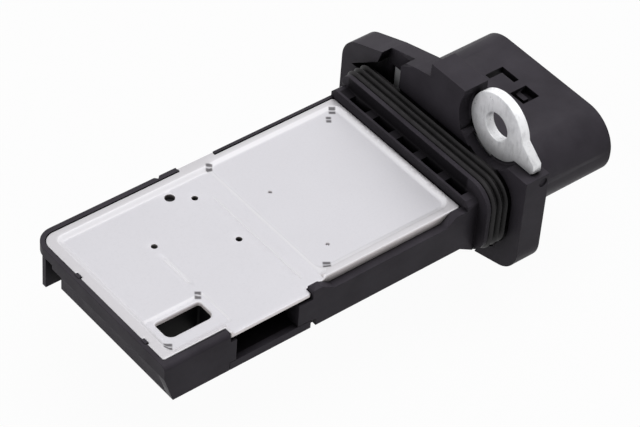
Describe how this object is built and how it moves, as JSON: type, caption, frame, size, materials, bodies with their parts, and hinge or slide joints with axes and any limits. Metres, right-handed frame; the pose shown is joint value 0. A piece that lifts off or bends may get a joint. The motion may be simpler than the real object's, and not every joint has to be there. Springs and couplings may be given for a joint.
{
  "type": "mass airflow sensor",
  "caption": "Plug-in mass airflow sensor: flat bladed probe with an aluminium base plate, ribbed duct seal, screw-down flange and an oval connector shroud",
  "frame": {"origin": "centre of the flange's seating face, on the blade's middle plane", "axes": "+X from the blade to the connector; +Z out of the aluminium base plate; -Y is the side with the air inlet"},
  "size_m": [0.0906, 0.0454, 0.0398],
  "materials": {
    "black_moulding": "glass-filled nylon, fine grain, slightly satin",
    "cover_moulding": "same plastic, flatter mould surface",
    "seal_rubber": "matt elastomer",
    "plate_aluminium": "satin pressed sheet with bright sheared edges",
    "zinc_steel": "mottled zinc on stamped steel",
    "contact_tin": "tinned copper alloy",
    "adhesive": "cured silicone bead",
    "board_ceramic": "white ceramic board",
    "chip_black": "moulded chip body",
    "capacitor_tan": "sintered ceramic",
    "bond_metal": "drawn aluminium ribbon",
    "pin_metal": "bright nickel",
    "element_white": "glazed ceramic",
    "element_green": "glazed ceramic",
    "bead_amber": "coated bead",
    "gel_clear": "soft clear gel"
  },
  "bodies": {
    "root": {"housing": "black_moulding", "base_plate": "plate_aluminium", "underside_cover": "cover_moulding", "duct_seal": "seal_rubber", "mounting_plate": "zinc_steel", "plate_adhesive_tip": "adhesive", "plate_adhesive_rear": "adhesive", "cover_adhesive_tip": "adhesive", "cover_adhesive_rear": "adhesive", "board_adhesive": "adhesive", "circuit_board": "board_ceramic", "control_chip": "chip_black", "regulator_chip": "chip_black", "capacitor_1": "capacitor_tan", "capacitor_2": "capacitor_tan", "resistor_1": "chip_black", "resistor_2": "chip_black", "hot_element": "element_white", "compensation_element": "element_green", "temperature_bead": "bead_amber", "chamber_gel": "gel_clear", "terminal_1": "contact_tin", "terminal_2": "contact_tin", "terminal_3": "contact_tin", "terminal_4": "contact_tin", "terminal_5": "contact_tin", "bond_lead_1": "bond_metal", "bond_lead_2": "bond_metal", "bond_lead_3": "bond_metal", "bond_lead_4": "bond_metal", "bond_lead_5": "bond_metal", "bond_lead_6": "bond_metal", "bond_lead_7": "bond_metal", "bond_lead_8": "bond_metal", "bond_lead_9": "bond_metal", "bond_lead_10": "bond_metal", "bond_lead_11": "bond_metal", "sensing_pin_1": "pin_metal", "sensing_pin_2": "pin_metal", "sensing_pin_3": "pin_metal", "sensing_pin_4": "pin_metal", "sensing_pin_5": "pin_metal", "sensing_pin_6": "pin_metal"}
  },
  "joints": []
}
